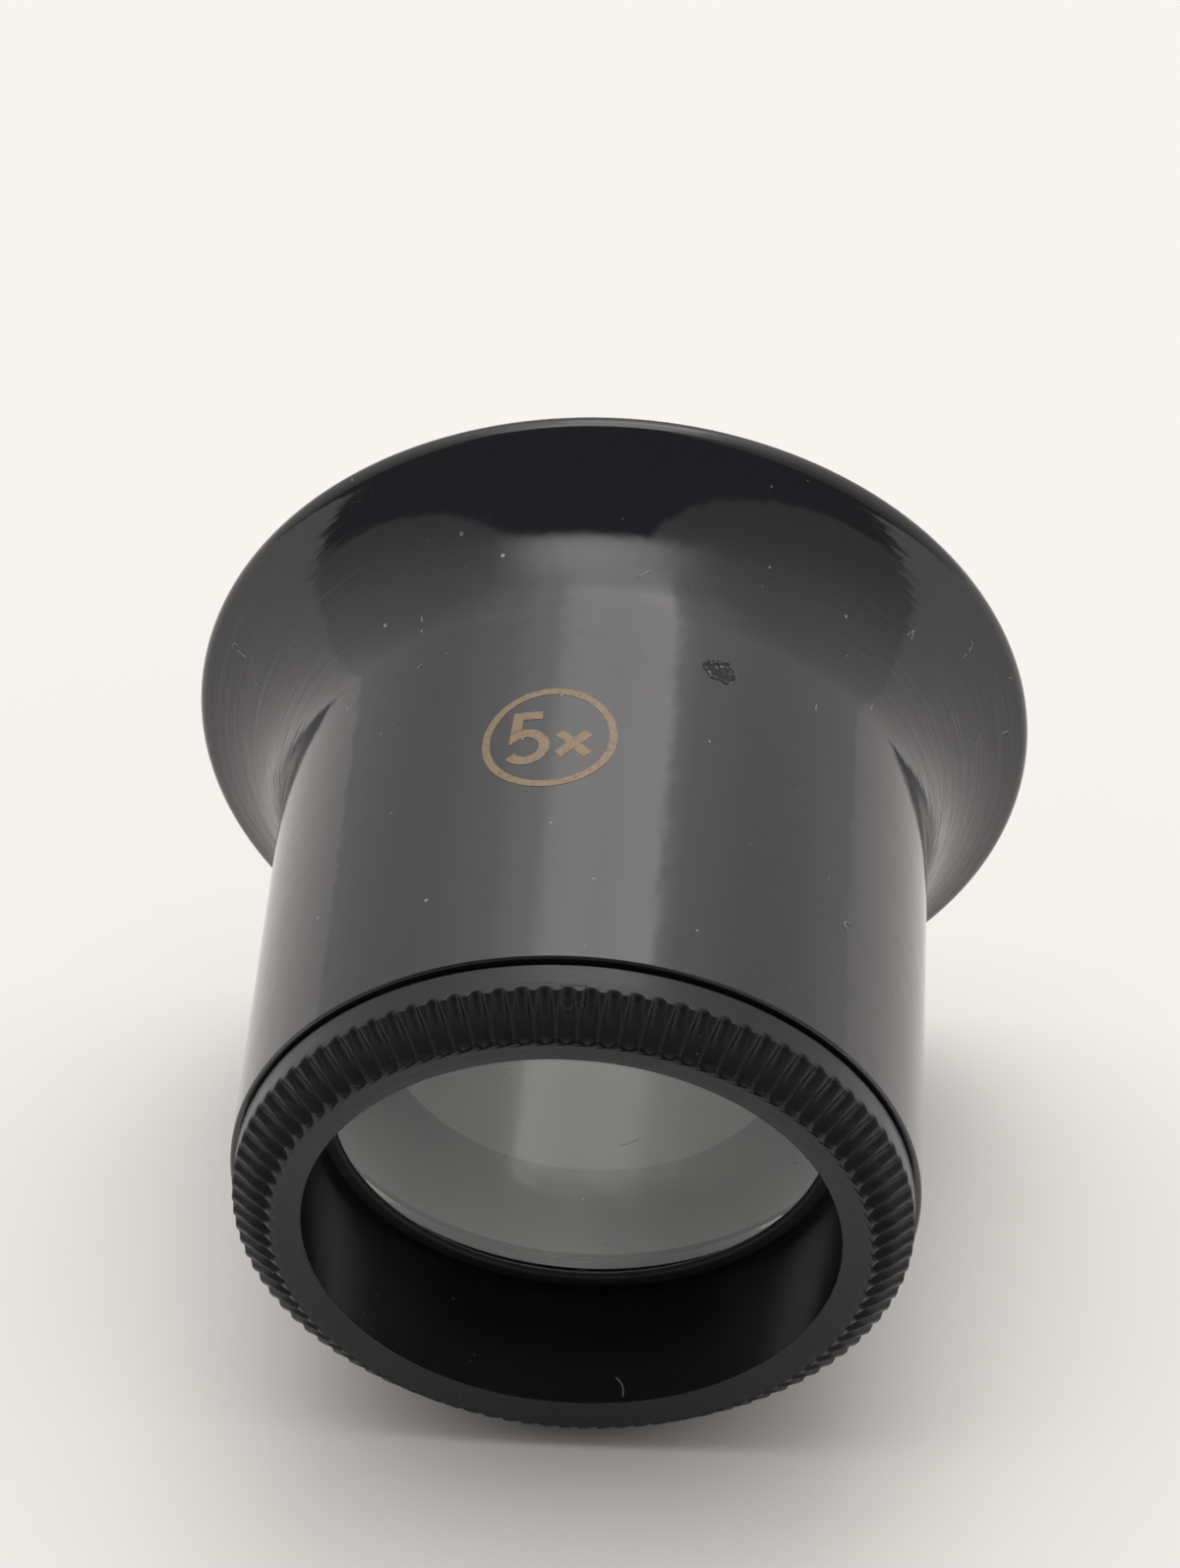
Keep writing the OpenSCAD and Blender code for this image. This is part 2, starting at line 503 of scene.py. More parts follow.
@shared("Dust specks", MASK, Place=None, Spacing=0.6, Size=0.03, Amount=0.5)
def dust_specks(n, place_of, spacing, size, amount):
    """Small bright specks of dust, of mixed sizes and brightness."""
    values = {"Vector": place_of, "Scale": n.calc("DIVIDE", 1.0, spacing)}
    cells = n.add("ShaderNodeTexVoronoi", values, feature="F1").outputs
    chance = n.add("ShaderNodeSeparateColor", {0: cells["Color"]}).outputs
    there = n.calc("LESS_THAN", chance[0], amount)
    size = n.times(size, n.calc("MULTIPLY_ADD", chance[1], 1.2, 0.4))
    dot = n.step(n.times(cells["Distance"], spacing), n.times(size, 0.5), size, 1.0, 0.0)
    return (n.times(dot, there, n.calc("MULTIPLY_ADD", chance[2], 0.7, 0.3)),)


@shared("Turning marks", MASK, Unrolled=None, Fineness=9.0, Run=0.25, Threshold=0.62)
def turning_marks(n, unrolled, fineness, run, threshold):
    """Fine marks that run round the axis, broken into short arcs."""
    stretched = n.vector("MULTIPLY", unrolled, n.combine(run, fineness, fineness))
    return (n.step(n.noise(stretched, 1.0, 4.0, 0.6), threshold, n.calc("ADD", threshold, 0.1)),)


@shared("Hairline scratches", MASK, Place=None, Turn=0.6, Width=0.02)
def hairlines(n, place_of, turn, width):
    """Straight hairline scratches in one direction: thin bands of a stretched, warped noise."""
    values = {"Vector": place_of, "Rotation": n.combine(turn, turn, turn)}
    turned = n.add("ShaderNodeVectorRotate", values, rotation_type="EULER_XYZ").outputs[0]
    wave = n.noise(n.vector("MULTIPLY", turned, (0.1, 1.1, 1.1)), 1.0, 1.0, 0.4, 0.3)
    middle = n.calc("ABSOLUTE", n.calc("SUBTRACT", wave, 0.5))
    gaps = n.step(n.noise(place_of, 0.35, 2.0), 0.52, 0.6)
    return (n.times(n.step(middle, 0.0, width, 1.0, 0.0, "LINEAR"), gaps),)


# Materials

# Where masks rise, or rise and fall, in millimetres and in degrees from the top
CUP_OUTSIDE = (13.5, 13.9)
FLARE_SIDES = (26.0, 64.0)
FLARE_MARKS = (0.5, 1.3, 5.6, 7.6)
RING_OUTSIDE = (11.2, 11.6)
RING_FACE = (11.0, 11.3)
FLUTED = (28.0, 28.5)
FLUTE_ENDS, FLUTE_ENDS_R = (28.9, 29.3, 29.7, 29.78), (11.6, 11.8)
# The gap between the barrel and the ring's band: the lint colour there is partly dust and partly painted
# light that lifts the gap's shade
GAP_DUST_AND_LIGHT, GAP_DUST_AND_LIGHT_R = (26.6, 27.0, 27.26, 27.32), (12.3, 12.5)
GROUND_EDGE = (12.3, 12.42)
# Places and sizes of the knock on the barrel and the mould's mark on the ring
KNOCK_ANGLE, KNOCK_Z, KNOCK_SIZE = -21.2, 9.97, (1.4, 1.2)
MOULD_ANGLE, MOULD_Z, MOULD_SIZE, MOULD_SOFT = -0.9, 28.62, (1.0, 0.55), 0.05
SCUFF_GREY = (0.5, 0.5, 0.52, 1.0)
CRUMB_GREY = (0.55, 0.53, 0.5, 1.0)
WORN_BRONZE = (0.15, 0.105, 0.065, 1.0)
GREY_LINT = (0.32, 0.32, 0.33, 1.0)


def square_mark(n, axis):
    """The soft-edged square that the mould leaves on the ring."""
    u = n.times(n.calc("SUBTRACT", axis["Angle"], MOULD_ANGLE), PER_DEGREE)
    v = n.calc("SUBTRACT", axis["Length"], MOULD_Z)
    sides = []
    for off, size in zip((u, v), MOULD_SIZE):
        ends = (size / 2 - MOULD_SOFT, size / 2 + MOULD_SOFT)
        sides.append(n.step(n.calc("ABSOLUTE", off), *ends, 1.0, 0.0))
    return n.times(*sides)


def knock_mark(n, axis):
    """The knock on the barrel, 1 in its middle and 0 at its ragged rim."""
    width, height = KNOCK_SIZE
    u = n.times(n.calc("SUBTRACT", axis["Angle"], KNOCK_ANGLE), PER_DEGREE * 2 / width)
    v = n.times(n.calc("SUBTRACT", axis["Length"], KNOCK_Z), 2 / height)
    far = n.calc("SQRT", n.calc("ADD", n.times(u, u), n.times(v, v)))
    ragged = n.calc("MULTIPLY_ADD", n.noise(axis["Straight"], 2.6, 2.0), 0.9, -0.45)
    return n.step(n.calc("ADD", far, ragged), 0.75, 1.05, 1.0, 0.0)


def moulded_plastic():
    """Black gloss plastic: faint ripple, turning marks on the flare, hairlines, a knock and dust."""
    f = finishes()
    n = Surface("Moulded black plastic", IOR=1.68)
    axis = n.places()
    straight, unrolled = axis["Straight"], axis["Unrolled"]
    outer = n.step(axis["Radius"], *CUP_OUTSIDE)
    sides = n.step(n.calc("ABSOLUTE", axis["Angle"]), *FLARE_SIDES)
    turned = n.times(sides, n.between(axis["Length"], *FLARE_MARKS), outer)
    waves = n.noise(n.vector("MULTIPLY", unrolled, (0.1, 3.4, 3.4)), 1.0, 2.0, 0.55, 0.3)
    lines = turning_marks(n, Unrolled=unrolled, Fineness=7.0, Run=0.12, Threshold=0.6)[0]
    hairs = hairlines(n, Place=straight, Turn=0.7, Width=0.004)[0]
    marks = n.calc("MAXIMUM", n.times(lines, turned), n.times(outer, 0.35, hairs))
    knock = knock_mark(n, axis)
    crumbs = n.step(n.noise(straight, 7.0, 3.0, 0.7), 0.5, 0.62)
    smear = n.step(n.noise(straight, 0.16, 4.0, 0.55, 0.6), 0.4, 0.7)
    coarse = dust_specks(n, Place=straight, Spacing=1.6, Size=0.08, Amount=0.5)[0]
    fine = dust_specks(n, Place=straight, Spacing=0.6, Size=0.03, Amount=0.3)[0]
    specks = n.times(outer, 1.4 * f.dust, n.calc("MAXIMUM", coarse, n.times(fine, 0.35)))
    base = n.blend(specks, colour(f.plastic), colour(f.lint))
    base = n.blend(n.times(marks, outer, 0.1 * f.scuffs), base, SCUFF_GREY)
    base = n.blend(n.times(crumbs, 0.35, knock), base, CRUMB_GREY)
    worn = n.calc("MAXIMUM", marks, knock)
    rough = n.pile(f.plastic_gloss, (smear, 0.04), (worn, 0.5 * f.scuffs), (specks, 0.5), (knock, 0.5))
    ripple = n.times(n.noise(straight, 0.5, 2.0, 0.5), 0.02)
    grain = n.times(outer, 0.0009, n.noise(straight, 14.0, 3.0, 0.6))
    height = n.pile(
        n.calc("ADD", ripple, grain),
        (n.times(waves, turned), n.times(outer, 0.056 * f.scuffs)),
        (marks, -0.003),
        (knock, n.calc("MULTIPLY_ADD", crumbs, 0.1, -0.16)),
        (specks, 0.02),
    )
    return n.finish(base, n.calc("MINIMUM", rough, 0.9), height)


def ring_plastic():
    """Satin black plastic: fine grain, turning marks on the band and face, a square mould mark and dust, with
    lint colour in the gap between the barrel and the band that is partly dust and partly painted light.
    """
    f = finishes()
    n = Surface("Satin ring plastic", IOR=1.5)
    axis = n.places()
    straight, radius, along = axis["Straight"], axis["Radius"], axis["Length"]
    outside = n.step(radius, *RING_OUTSIDE)
    lines = turning_marks(n, Unrolled=axis["Unrolled"], Fineness=9.0, Run=0.2, Threshold=0.56)[0]
    lines = n.times(lines, n.step(radius, *RING_FACE, 0.25, 1.0))
    ends = n.times(n.between(along, *FLUTE_ENDS), n.step(radius, *FLUTE_ENDS_R))
    gap_dust_and_light = n.times(n.between(along, *GAP_DUST_AND_LIGHT), n.step(radius, *GAP_DUST_AND_LIGHT_R))
    patch = n.step(n.noise(straight, 0.9, 3.0, 0.6), 0.35, 0.7)
    specks = dust_specks(n, Place=straight, Spacing=0.5, Size=0.028, Amount=0.5)[0]
    base = n.blend(n.times(specks, 0.6 * f.dust), colour(f.ring), colour(f.lint))
    # Lint colour in the gap between barrel and band: partly dust, partly painted light that lifts the shade
    # in the gap
    base = n.blend(n.times(gap_dust_and_light, 0.22), base, colour(f.lint))
    fluted = n.times(n.step(along, *FLUTED), outside)
    patch = n.times(patch, outside)
    rough = n.pile(f.ring_gloss, (patch, 0.06), (ends, 0.42), (lines, 0.08), (fluted, 0.12))
    grain = n.times(n.noise(straight, 9.0, 3.0, 0.65), n.calc("MULTIPLY_ADD", outside, 0.0026, 0.0002))
    return n.finish(base, rough, n.pile(grain, (lines, 0.0014), (square_mark(n, axis), 0.02)))


def washer_rubber():
    """Matt black washer with a slight skin and dust on it."""
    f = finishes()
    n = Surface("Washer rubber", IOR=1.5)
    straight = n.places()["Straight"]
    specks = dust_specks(n, Place=straight, Spacing=0.5, Size=0.03, Amount=0.4)[0]
    base = n.blend(n.times(specks, 0.3), colour(f.washer), colour(f.lint))
    rough = n.calc("MULTIPLY_ADD", n.noise(straight, 1.6, 3.0, 0.6), 0.2, 0.42)
    return n.finish(base, rough, n.times(n.noise(straight, 5.0, 3.0, 0.6), 0.002))


def lens_glass():
    """Clear glass, its edge ground and its faces a little dusty."""
    n = Surface("Lens glass", IOR=1.52, Transmission_Weight=1.0, Base_Color=colour(finishes().glass))
    axis = n.places()
    specks = dust_specks(n, Place=axis["Straight"], Spacing=1.1, Size=0.04, Amount=0.35)[0]
    rough = n.pile(n.times(specks, 0.4), (n.step(axis["Radius"], *GROUND_EDGE), 0.5))
    return n.finish(rough=rough, height=n.times(specks, 0.01))


def mark_bronze():
    """Worn gold-brown stamping."""
    n = Surface("Stamped bronze", Metallic=0.15)
    straight = n.places()["Straight"]
    wear = n.step(n.noise(straight, 5.0, 4.0, 0.7), 0.45, 0.75)
    base = n.blend(wear, colour(finishes().bronze), WORN_BRONZE)
    rough = n.calc("MULTIPLY_ADD", wear, 0.15, 0.34)
    return n.finish(base, rough, n.times(n.noise(straight, 12.0, 3.0, 0.6), 0.004))


def lint_fibre():
    """Pale cotton lint, greyer in patches."""
    n = Surface("Lint fibre", Roughness=0.8)
    shade = n.noise(n.places()["Straight"], 5.0, 2.0)
    return n.finish(n.blend(shade, colour(finishes().lint), GREY_LINT))


# Profiles of the pieces

# Rows of points along each thread
INSIDE_ROWS, OUTSIDE_ROWS = 92, 84
# How far the inside thread stops short of its front and back corners
THREAD_FRONT, THREAD_BACK = 0.1 * MM, 0.05 * MM
# Softening of a flute's rim, and a limit that keeps it finite
FLUTE_SOFT, EXPONENT_TOP = 0.018 * MM, 60.0
# Columns of points over one flute, in halves of its pitch, closer together on the lands
FLUTE_COLUMNS = (-0.95, -0.86, -0.74, -0.6, -0.45, -0.3, -0.15, 0.0)
FLUTE_COLUMNS += (0.15, 0.3, 0.45, 0.6, 0.74, 0.86, 0.95, 1.0)
# Rows of points back along the band and down the cone, in millimetres
BAND_ROWS = (0.34, 0.29, 0.25, 0.21, 0.17, 0.13, 0.09, 0.05, 0.02)
CONE_ROWS = (0.02, 0.05, 0.09, 0.14, 0.2, 0.28, 0.38, 0.5, 0.64, 0.8, 0.96, 1.12, 1.26, 1.38, 1.46)
CONE_ROWS += (1.53, 1.6, 1.665, 1.72, 1.77, 1.82, 1.86, 1.9, 1.93, 1.96, 1.985, 2.01, 2.035, 2.065)


def cup_profile(s):
    lip_r = s.cup_wall / 2
    lip = (s.rim_d / 2 - lip_r, lip_r)
    flare = (s.barrel_r + s.flare_arc, s.straight_z)
    tilt = math.degrees(math.atan2(s.straight_z - lip[1], flare[0] - lip[0]))
    edge = s.front_round
    soft = edge * 0.8 / MM
    rear_r = s.barrel_r - s.cup_wall
    back_z = s.ledge_z - s.ledge_t
    mouth = (
        (s.barrel_r, s.straight_z), (s.barrel_r, s.barrel_z - edge), (s.barrel_r - edge, s.barrel_z),
        (s.thread_r, s.barrel_z), (s.thread_r, s.ledge_z),
    )
    inside = (
        (s.thread_r, s.barrel_z), (s.thread_r, s.pocket_z), (s.pocket_r, s.pocket_z), (s.pocket_r, s.ledge_z),
        (s.ledge_r, s.ledge_z), (s.ledge_r, back_z), (rear_r, back_z), (rear_r, 0.0),
    )
    front, back = s.barrel_z - THREAD_FRONT, s.pocket_z + THREAD_BACK
    return path(
        arc(lip, lip_r, tilt - 180, tilt, 26),
        arc(flare, s.flare_arc, 180 + tilt, 180, 60),
        line((s.barrel_r, s.straight_z), (s.barrel_r, s.barrel_z - edge * 1.4), 24),
        rounded(mouth, (soft, soft, 0.08)),
        line((s.thread_r, front), (s.thread_r, back), INSIDE_ROWS),
        rounded(inside, (0.04, 0.04, 0.05, 0.06, 0.1, 0.12)),
        line((rear_r, back_z - 0.2 * MM), (rear_r, s.straight_z), 12),
        arc(flare, s.flare_arc + s.cup_wall, 180, 180 + tilt, 48),
    )


def bulge(s, r):
    """How far a face of the lens falls off at a radius."""
    return s.lens_curve - math.sqrt(s.lens_curve**2 - r * r)


def flute_cut(s):
    """The depth that a round bar with a ball end takes out of the ring, along the surface's normal."""
    cone = Vector((s.crest_r - s.head_r, s.front_z - s.cone_z))
    down = -cone.normalized()
    out = Vector((cone[1], -cone[0])).normalized()
    nose = math.sqrt(s.flute_r**2 - (s.flute_r - s.flute_end) ** 2) - s.flute_nick
    start = Vector((s.head_r, s.cone_z)) + out * (s.flute_r - s.flute_start)
    end = Vector((s.crest_r, s.front_z)) + down * nose + out * (s.flute_r - s.flute_end)
    run = (end - start).normalized()
    side = Vector((run[1], -run[0]))

    def root(value):
        return math.copysign(math.sqrt(abs(value)), value)

    def depth(point, normal, across):
        p = Vector(point) - end
        room = s.flute_r**2 - across * across
        t = (p.dot(side) + root(room)) / normal.dot(side)
        if (p - normal * t).dot(run) > 0:
            b = p.dot(normal)
            t = b + root(b * b - p.length_squared + room)
        return FLUTE_SOFT * math.log1p(math.exp(min(EXPONENT_TOP, t / FLUTE_SOFT)))

    return depth


def fluted_ring(s, point, normal, cut):
    """A ring of points with the flutes cut into it along a normal."""
    pitch = 2 * math.pi / s.flutes
    depths = [cut(point, normal, point[0] * math.sin(at * pitch / 2)) for at in FLUTE_COLUMNS]
    points = []
    for i in range(s.flutes):
        for at, depth in zip(FLUTE_COLUMNS, depths):
            p = Vector(point) - normal * depth
            points.append(on_axis(p[0], (i + at / 2) * pitch, p[1]))
    return points


def ring_rings(s):
    """All rings of the screw ring, from the bore round by the thread, the band, the flutes and the face."""
    coarse = s.flutes * 2
    edge = Vector((s.head_r, s.cone_z))
    face_in, face_out = (s.bore_r, s.front_z - s.face_dish), (s.crest_r, s.front_z)
    bore_end, spigot_end = (s.bore_r, s.spigot_z), (s.spigot_r, s.spigot_z)
    neck, shoulder = (s.spigot_r - s.thread_depth, s.head_z), (s.head_r, s.head_z)
    bore = path(
        line((s.bore_r, face_in[1] - 0.12 * MM), (s.bore_r, s.spigot_z + 0.1 * MM), 10),
        eased(face_in, bore_end, spigot_end, 0.08 * MM, 4),
        line((s.bore_r + 0.1 * MM, s.spigot_z), (s.spigot_r - 0.1 * MM, s.spigot_z), 3),
    )
    thread = line((s.spigot_r, s.spigot_z + 0.03 * MM), (s.spigot_r, 27.05 * MM), OUTSIDE_ROWS)
    lift = outside_thread(s)
    collar = path(
        eased((neck[0], s.spigot_z), neck, shoulder, 0.1 * MM, 4),
        eased(neck, shoulder, edge, 0.05 * MM, 4),
        line((s.head_r, s.head_z + 0.08 * MM), (s.head_r, s.cone_z - 0.4 * MM), 4),
    )
    rings = [ring_of(r, z, coarse) for r, z in bore]
    rings += [ring_of(r, z, coarse, lift) for r, z in thread]
    rings += [ring_of(r, z, coarse) for r, z in collar]
    slope = (Vector(face_out) - edge).normalized()
    band, cone = Vector((1.0, 0.0)), Vector((s.front_z - s.cone_z, s.head_r - s.crest_r)).normalized()
    middle = (band + cone).normalized()
    cut = flute_cut(s)
    rings += [fluted_ring(s, (s.head_r, s.cone_z - back * MM), band, cut) for back in BAND_ROWS]
    rings.append(fluted_ring(s, edge - middle * 0.006 * MM, middle, cut))
    rings += [fluted_ring(s, edge + slope * far * MM, cone, cut) for far in CONE_ROWS]
    rim = eased(edge, face_out, face_in, 0.1 * MM)
    rings += [fluted_ring(s, p, cone, cut) for p in rim[:4]]
    start_in = 0.14 * MM / (Vector(face_in) - Vector(face_out)).length
    face = path(
        line(Vector(face_out).lerp(Vector(face_in), start_in), face_in, 6)[:-1],
        eased(face_out, face_in, bore_end, 0.07 * MM, 4),
    )
    return rings + [ring_of(r, z, coarse) for r, z in face]


# Operators


class LOUPE_OT_barrel(Operator):
    """Moulds the eyecup and barrel in one piece, with the thread for the ring inside its front end"""

    bl_idname = "loupe.barrel"
    bl_label = "Eyecup and Barrel"

    def execute(self, context):
        s = sizes()
        thread = inside_thread(s)
        low, high = s.pocket_z + 0.04 * MM, s.barrel_z - 0.09 * MM
        rings = []
        for r, z in cup_profile(s):
            threaded = abs(r - s.thread_r) < 1e-6 and low < z < high
            rings.append(ring_of(r, z, s.columns, thread if threaded else None))
        piece = skin("moulded_eyecup_barrel", rings)
        finish_piece(piece, "barrel", moulded_plastic(), "eyecup_barrel")
        return {"FINISHED"}


class LOUPE_OT_lens(Operator):
    """Grinds the biconvex lens"""

    bl_idname = "loupe.lens"
    bl_label = "Lens"

    def execute(self, context):
        s = sizes()
        bevel = 0.12 * MM
        rows = 30
        radii = [(s.lens_r - bevel) * i / rows for i in range(1, rows + 1)]
        back = [(r, s.lens_back + bulge(s, r)) for r in radii]
        front = [(r, s.lens_front - bulge(s, r)) for r in reversed(radii)]
        edge_low, edge_high = back[-1][1] + bevel * 0.8, front[0][1] - bevel * 0.8
        rings = [[on_axis(0, 0, s.lens_back)]]
        rings += [ring_of(r, z, s.columns) for r, z in back]
        rings += [ring_of(s.lens_r, z, s.columns) for _, z in line((0, edge_low), (0, edge_high), 3)]
        rings += [ring_of(r, z, s.columns) for r, z in front]
        rings.append([on_axis(0, 0, s.lens_front)])
        piece = skin("ground_lens", rings, closed=False, sharp=25.0)
        finish_piece(piece, "optics", lens_glass(), "lens")
        return {"FINISHED"}


class LOUPE_OT_washer(Operator):
    """Cuts the washer that lies between the lens and the ring"""

    bl_idname = "loupe.washer"
    bl_label = "Washer"

    def execute(self, context):
        s = sizes()
        top, half = s.washer_front, s.washer_t / 2
        outer, clear = s.lens_r - 0.01 * MM, 0.025 * MM
        radii = [r for r, _ in line((outer, 0), (s.washer_r + 0.2 * MM, 0), 10)]
        glass = [(r, s.lens_front - bulge(s, r) + clear) for r in radii]
        profile = path(
            line((s.washer_r + half, top), (outer - 0.05 * MM, top), 5),
            eased((s.washer_r, top), (outer, top), (outer, glass[0][1]), 0.05 * MM, 4),
            glass,
            arc((s.washer_r + half, top - half), half, 250, 90, 10)[1:],
        )
        piece = skin("rubber_washer", [ring_of(r, z, s.columns) for r, z in profile])
        finish_piece(piece, "optics", washer_rubber(), "lens_gasket")
        return {"FINISHED"}


class LOUPE_OT_ring(Operator):
    """Turns the screw ring, cuts its thread and its flutes"""

    bl_idname = "loupe.ring"
    bl_label = "Screw Ring"

    def execute(self, context):
        piece = skin("fluted_screw_ring", ring_rings(sizes()), sharp=50.0)
        finish_piece(piece, "ring", ring_plastic(), "screw_ring")
        return {"FINISHED"}


# The mark's border, scale and strokes on its drawing, its foot and face over the barrel, and its place
MARK_MIDDLE, BORDER_R, MARK_SCALE = (2.05, 1.65), 3.38, 0.78
STROKE_WIDTH, BORDER_WIDTH = 0.56, 0.42
MARK_HEIGHTS = (-0.01, 0.014)
MARK_ANGLE, MARK_Z = math.radians(96.7), 15.0 * MM


def stroke(points, width):
    """Left and right edges of a pen stroke of even width."""
    left, right = [], []
    for i, p in enumerate(points):
        p = Vector(p)
        before = (p - Vector(points[i - 1])).normalized() if i else None
        after = (Vector(points[i + 1]) - p).normalized() if i + 1 < len(points) else None
        way = before or after
        grow = 1.0
        if before and after:
            way = (before + after).normalized()
            grow = 1.0 / max(0.35, way.dot(after))
        across = Vector((-way[1], way[0])) * width / 2 * grow
        left.append(p + across)
        right.append(p - across)
    return left, right


def mark_strokes():
    """The strokes of the mark on its drawing, each with its width: a five, a times sign and a border."""
    turns = [math.radians(a) for a in range(128, -146, -7)]
    bowl = [(0.86 + 0.98 * math.cos(a), 1.02 + 1.0 * math.sin(a)) for a in turns]
    five = path(line((1.62, 3.3), (0.34, 3.3), 5), line((0.34, 3.3), bowl[0], 5), bowl)
    return (
        (five, STROKE_WIDTH),
        (line((2.6, 0.35), (4.15, 1.95), 8), STROKE_WIDTH),
        (line((2.6, 1.95), (4.15, 0.35), 8), STROKE_WIDTH),
        (arc(MARK_MIDDLE, BORDER_R, 0, 360, 80), BORDER_WIDTH),
    )


class LOUPE_OT_mark(Operator):
    """Stamps the power of the lens, a figure and a times sign, on the top of the barrel"""

    bl_idname = "loupe.mark"
    bl_label = "Power Mark"

    def execute(self, context):
        s = sizes()
        verts, faces = [], []
        for points, width in mark_strokes():
            start = len(verts)
            for sides in zip(*stroke(points, width)):
                for height in MARK_HEIGHTS:
                    for p in sides:
                        u, v = [(p[k] - MARK_MIDDLE[k]) * MARK_SCALE * MM for k in (0, 1)]
                        angle = MARK_ANGLE - u / s.barrel_r
                        verts.append(on_axis(s.barrel_r + height * MM, angle, MARK_Z - v))
            end = len(verts) - 4
            for a in range(start, end, 4):
                b = a + 4
                faces += [(a + 2, a + 3, b + 3, b + 2), (a, b, b + 1, a + 1)]
                faces += [(a, a + 2, b + 2, b), (a + 1, b + 1, b + 3, a + 3)]
            faces += [(start, start + 1, start + 3, start + 2), (end, end + 2, end + 3, end + 1)]
        piece = place("power_mark", solid_mesh("power_mark", verts, faces))
        finish_piece(piece, "barrel", mark_bronze())
        return {"FINISHED"}


# Curls of lint: angle and length on the cup and in the bore, or across and up on the lens, then size,
# direction and bend, in millimetres and degrees
LINT_WIDTH = 0.017 * MM
LINT_OFF = LINT_WIDTH * 0.8
LINT_SIDES = 5
CUP_LINT = (
    (161.6, 1.64, 0.62, 20, 200), (161.9, 1.78, 0.35, 100, 60), (164.0, 2.59, 0.5, 60, 150),
    (34.8, 2.91, 0.42, 60, 30), (34.3, 2.95, 0.4, 120, -20), (24.8, 1.78, 0.8, -40, 110),
    (15.2, 1.15, 0.35, 10, 160), (5.2, 1.55, 0.8, 50, 250), (7.8, 2.27, 0.55, 150, 120),
    (40.2, 20.38, 0.95, 80, 230), (49.9, 9.51, 0.4, 90, 40), (36.3, 6.92, 0.4, 80, 30),
    (122.0, 9.1, 0.3, 45, 30), (122.3, 6.3, 0.35, 95, 40), (83.2, 5.49, 0.8, 40, 20),
)
LENS_LINT = (
    (-10.11, -5.13, 0.55, 80, 170), (-3.17, -8.69, 0.9, 10, 240), (0.85, -8.04, 0.7, 60, 280),
    (3.54, -7.43, 0.3, 90, 60), (8.94, -2.23, 0.6, 30, 200), (2.05, -0.52, 1.1, 30, 50),
    (-2.98, 3.1, 0.2, 70, 30),
)
BORE_LINT = ((-80.4, 28.85, 1.3, 75, 60),)


def on_cup(s, angle, z):
    def at(u, v):
        far = z * MM + v
        r = s.barrel_r
        if far < s.straight_z:
            r += s.flare_arc - math.sqrt(s.flare_arc**2 - (s.straight_z - far) ** 2)
        return on_axis(r + LINT_OFF, math.radians(angle) + u / r, far)

    return at


def on_lens(s, x, y):
    def at(u, v):
        a, b = x * MM + u, y * MM + v
        r = math.hypot(a, b)
        return on_axis(r, math.atan2(b, a), s.lens_front - bulge(s, r) + LINT_OFF)

    return at


def in_bore(s, angle, z):
    return lambda u, v: on_axis(s.bore_r - LINT_OFF, math.radians(angle) + u / s.bore_r, z * MM + v)


def fibre(place_at, size, turn, bend, steps=9):
    """Points of a curl of lint: an arc of a size, set by its direction and how far it bends, in degrees."""
    points, u, v = [], 0.0, 0.0
    for i in range(steps):
        points.append((u, v))
        way = math.radians(turn + bend * (i / (steps - 1) - 0.5))
        u += size / steps * math.cos(way)
        v += size / steps * math.sin(way)
    return [place_at((p - u / 2) * MM, (q - v / 2) * MM) for p, q in points]


def threads_of(name, curls, width):
    """Thin tubes along lists of points, narrower at both ends."""
    verts, faces = [], []
    sides = LINT_SIDES
    for points in curls:
        start = len(verts)
        last = len(points) - 1
        for i, p in enumerate(points):
            way = (points[min(i + 1, last)] - points[max(i - 1, 0)]).normalized()
            side = way.orthogonal().normalized()
            other = way.cross(side)
            thick = width * (0.55 if i in (0, last) else 1.0)
            for k in range(sides):
                t = 2 * math.pi * k / sides
                verts.append(p + (side * math.cos(t) + other * math.sin(t)) * thick)
        for i in range(last):
            for k in range(sides):
                a, b = start + sides * i + k, start + sides * i + (k + 1) % sides
                faces.append((a, b, b + sides, a + sides))
        end = start + sides * last
        faces += [tuple(range(start + sides - 1, start - 1, -1)), tuple(range(end, end + sides))]
    mesh = new_mesh(name, verts, faces)
    mesh.shade_smooth()
    return place(name, mesh)


class LOUPE_OT_lint(Operator):
    """Scatters a few curls of lint over the cup, the lens and the bore of the ring"""

    bl_idname = "loupe.lint"
    bl_label = "Lint"

    def execute(self, context):
        s = sizes()
        material = lint_fibre()
        for name, body, slot, site, curls in (
            ("lint_on_cup", "barrel", "gloss_black", on_cup, CUP_LINT),
            ("lint_on_lens", "optics", "lens_glass", on_lens, LENS_LINT),
            ("lint_in_bore", "ring", "satin_black", in_bore, BORE_LINT),
        ):
            lines = [fibre(site(s, a, b), size, turn, bend) for a, b, size, turn, bend in curls]
            finish_piece(threads_of(name, lines, LINT_WIDTH), body, material)
        return {"FINISHED"}


class LOUPE_OT_stage(Operator):
    """Lays the floor, hangs the light tent and sets up the camera"""

    bl_idname = "loupe.stage"
    bl_label = "Stage"

    def execute(self, context):
        stage = context.scene.loupe_stage
        lay_floor(stage)
        hang_tent(stage)
        aim_camera(stage)
        context.scene.view_settings.view_transform = "Standard"
        return {"FINISHED"}


# Stage. The corners of the floor in metres
FLOOR = ((-3.0, -0.15, 0.0), (3.0, -0.15, 0.0), (3.0, 3.0, 0.0), (-3.0, 3.0, 0.0))
